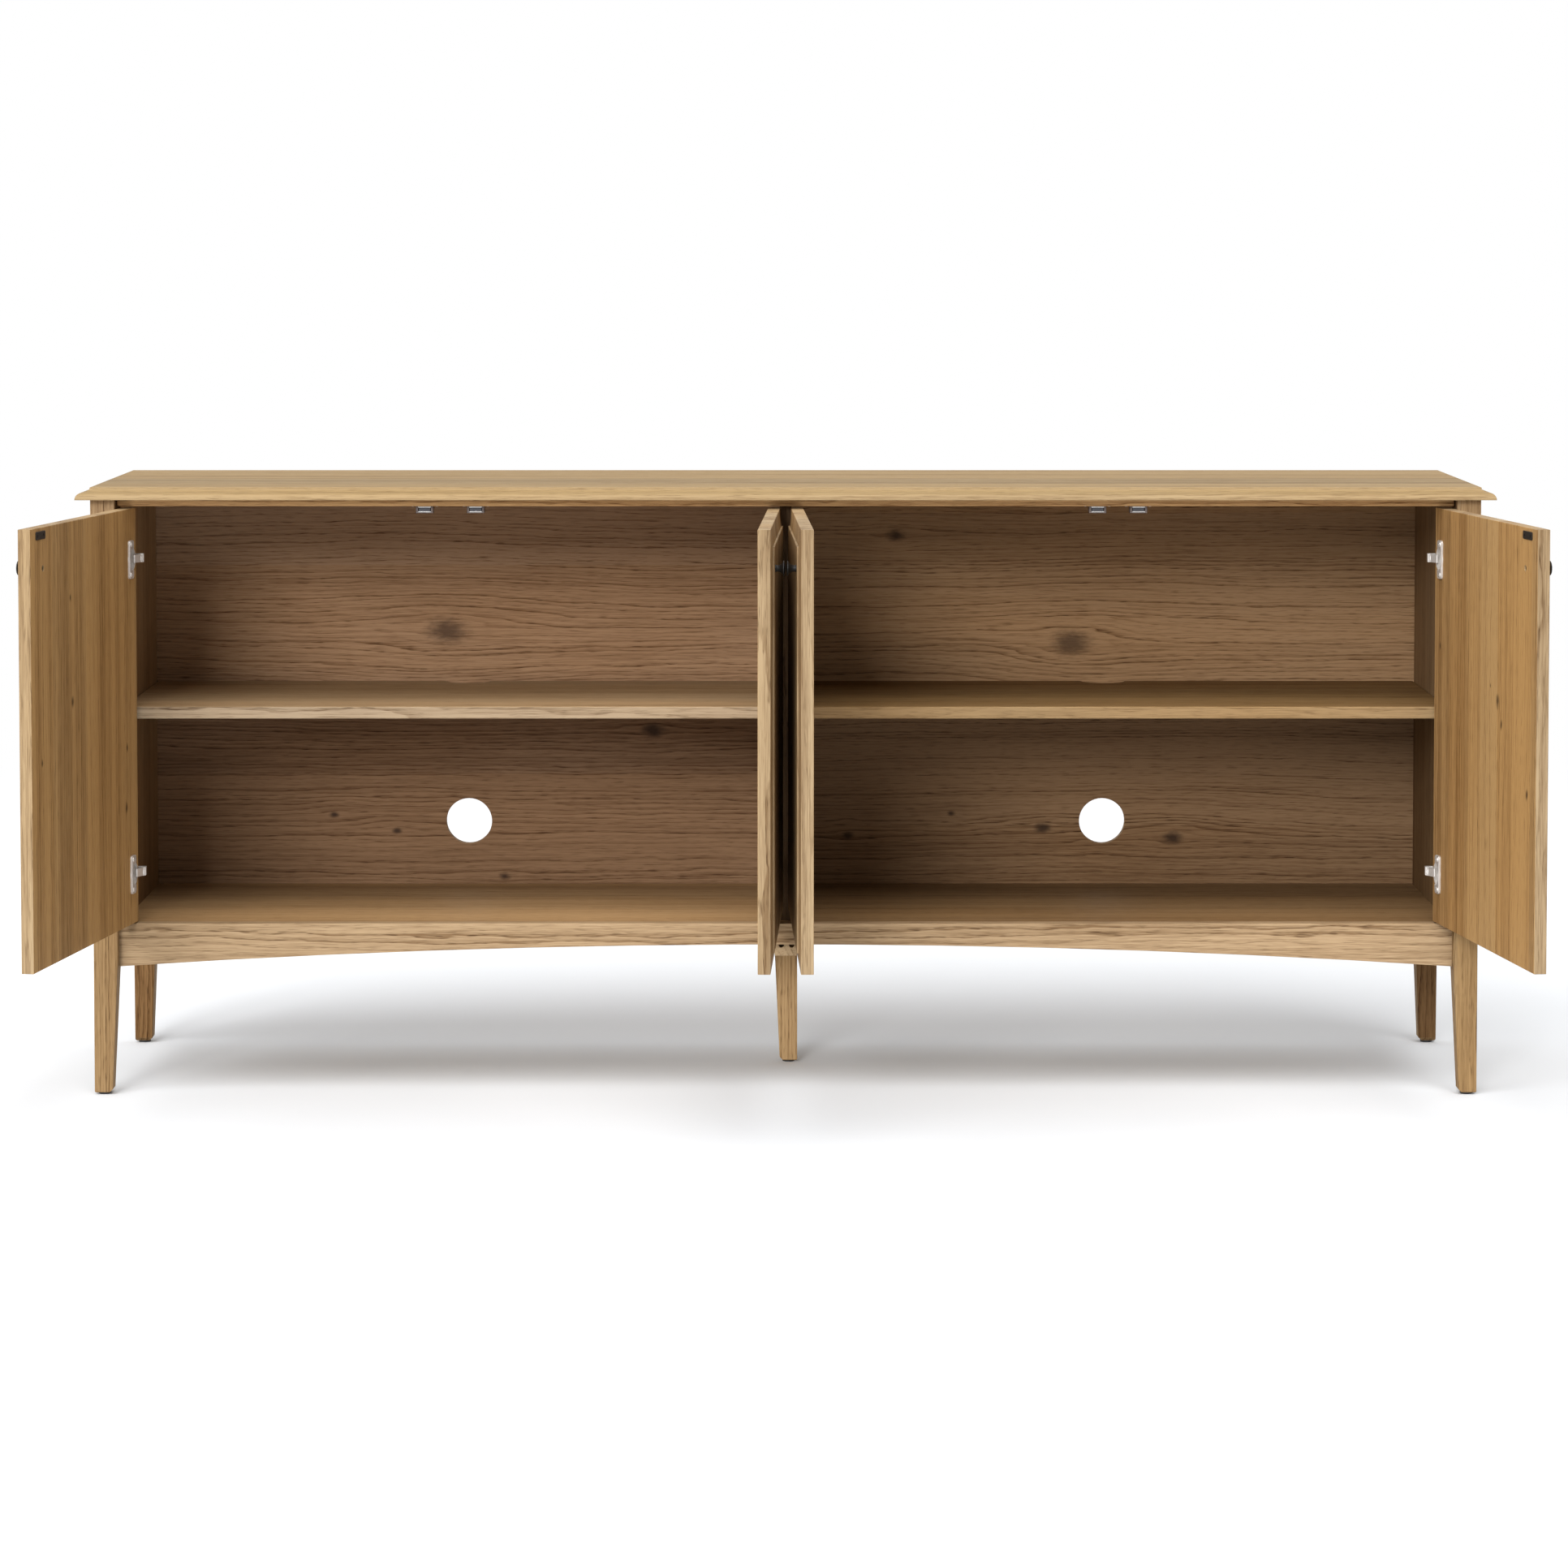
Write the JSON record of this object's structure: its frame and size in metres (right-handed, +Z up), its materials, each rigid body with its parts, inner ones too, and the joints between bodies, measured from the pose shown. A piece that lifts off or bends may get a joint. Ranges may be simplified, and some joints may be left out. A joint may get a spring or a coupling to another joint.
{
  "type": "media cabinet",
  "caption": "Long low oak media cabinet on tapered legs: hinged doors with knobs close two shelved bays with cable holes in the back.",
  "frame": {"origin": "on the floor, at the middle of the cabinet's footprint with its doors standing open", "axes": "+X to the right seen from the front, +Y from the front to the back, +Z up"},
  "size_m": [2.1404, 0.9292, 0.907],
  "materials": {
    "oak_top": "satin clear-oiled light oak, grain along the length",
    "oak_rail": "satin clear-oiled light oak, grain along the length",
    "oak_upright": "satin clear-oiled light oak, upright grain",
    "oak_shelf": "satin clear-oiled light oak, grain along the length",
    "oak_back": "satin light oak, grain along the length, with knots",
    "oak_leg": "satin clear-oiled light oak, upright grain",
    "oak_door": "satin clear-oiled light oak in glued upright staves",
    "beech_dowel": "plain fluted beech dowel",
    "black_plastic": "black nylon glide",
    "black_metal": "satin black coated metal",
    "hinge_steel": "nickel-plated pressed steel",
    "fixing_steel": "zinc-plated steel",
    "catch_body": "grey-brown moulded plastic",
    "catch_steel": "bright zinc-plated steel pole plates",
    "catch_magnet": "dark ferrite magnet"
  },
  "bodies": {
    "carcass": {"top_panel": "oak_top", "front_top_rail": "oak_rail", "rear_top_rail": "oak_rail", "side_panel_left": "oak_upright", "side_panel_right": "oak_upright", "centre_partition": "oak_upright", "cabinet_floor": "oak_shelf", "front_apron": "oak_rail", "rear_apron": "oak_rail", "back_panel_left": "oak_back", "back_panel_right": "oak_back", "shelf_left": "oak_shelf", "shelf_right": "oak_shelf", "centre_beam": "oak_rail", "centre_leg": "oak_leg", "leg_front_left": "oak_leg", "leg_front_right": "oak_leg", "leg_rear_left": "oak_leg", "leg_rear_right": "oak_leg", "foot_glides": "black_plastic", "joint_dowels": "beech_dowel", "shelf_pins": "fixing_steel", "top_screws": "fixing_steel", "back_panel_screws": "fixing_steel", "centre_beam_screws": "fixing_steel", "hinge_plates": "hinge_steel", "hinge_plate_screws": "fixing_steel", "hinge_pins": "hinge_steel", "catch_housings": "catch_body", "catch_pole_plates": "catch_steel", "catch_magnets": "catch_magnet", "catch_screws": "fixing_steel", "hinge_arms_left_outer": "hinge_steel", "hinge_arms_left_centre": "hinge_steel", "hinge_arms_right_centre": "hinge_steel", "hinge_arms_right_outer": "hinge_steel"},
    "door_left_outer": {"door_panel_left_outer": "oak_door", "hinge_cups_left_outer": "hinge_steel", "knob_left_outer": "black_metal", "strike_plate_left_outer": "black_metal", "door_fixings_left_outer": "fixing_steel"},
    "links_left_outer": {"hinge_links_left_outer": "hinge_steel"},
    "door_left_centre": {"door_panel_left_centre": "oak_door", "hinge_cups_left_centre": "hinge_steel", "knob_left_centre": "black_metal", "strike_plate_left_centre": "black_metal", "door_fixings_left_centre": "fixing_steel"},
    "links_left_centre": {"hinge_links_left_centre": "hinge_steel"},
    "door_right_centre": {"door_panel_right_centre": "oak_door", "hinge_cups_right_centre": "hinge_steel", "knob_right_centre": "black_metal", "strike_plate_right_centre": "black_metal", "door_fixings_right_centre": "fixing_steel"},
    "links_right_centre": {"hinge_links_right_centre": "hinge_steel"},
    "door_right_outer": {"door_panel_right_outer": "oak_door", "hinge_cups_right_outer": "hinge_steel", "knob_right_outer": "black_metal", "strike_plate_right_outer": "black_metal", "door_fixings_right_outer": "fixing_steel"},
    "links_right_outer": {"hinge_links_right_outer": "hinge_steel"}
  },
  "joints": [
    {"name": "door_hinge_left_outer", "type": "hinge", "parent": "carcass", "child": "door_left_outer", "pos_m": [-0.9827, 0.02018, 0.566], "axis": [0, 0, -1], "range_deg": [-99.1, 0.9]},
    {"name": "link_pivot_left_outer", "type": "hinge", "parent": "carcass", "child": "links_left_outer", "pos_m": [-0.959, 0.02858, 0.566], "axis": [0, 0, -1], "range_deg": [-1, 66.9]},
    {"name": "door_hinge_left_centre", "type": "hinge", "parent": "carcass", "child": "door_left_centre", "pos_m": [-0.0105, 0.02018, 0.566], "axis": [0, 0, 1], "range_deg": [-88.45, 0]},
    {"name": "link_pivot_left_centre", "type": "hinge", "parent": "carcass", "child": "links_left_centre", "pos_m": [-0.0342, 0.02858, 0.566], "axis": [0, 0, 1], "range_deg": [0, 59.76]},
    {"name": "door_hinge_right_centre", "type": "hinge", "parent": "carcass", "child": "door_right_centre", "pos_m": [0.0105, 0.02018, 0.566], "axis": [0, 0, -1], "range_deg": [-88.45, 0]},
    {"name": "link_pivot_right_centre", "type": "hinge", "parent": "carcass", "child": "links_right_centre", "pos_m": [0.0342, 0.02858, 0.566], "axis": [0, 0, -1], "range_deg": [0, 59.76]},
    {"name": "door_hinge_right_outer", "type": "hinge", "parent": "carcass", "child": "door_right_outer", "pos_m": [0.9827, 0.02018, 0.566], "axis": [0, 0, 1], "range_deg": [-98.5, 1.5]},
    {"name": "link_pivot_right_outer", "type": "hinge", "parent": "carcass", "child": "links_right_outer", "pos_m": [0.959, 0.02858, 0.566], "axis": [0, 0, 1], "range_deg": [-1, 66.5]}
  ],
  "couplings": [
    {"joint": "link_pivot_left_outer", "follows": "door_hinge_left_outer", "ratio": -0.67},
    {"joint": "link_pivot_left_centre", "follows": "door_hinge_left_centre", "ratio": -0.67},
    {"joint": "link_pivot_right_centre", "follows": "door_hinge_right_centre", "ratio": -0.67},
    {"joint": "link_pivot_right_outer", "follows": "door_hinge_right_outer", "ratio": -0.67}
  ]
}
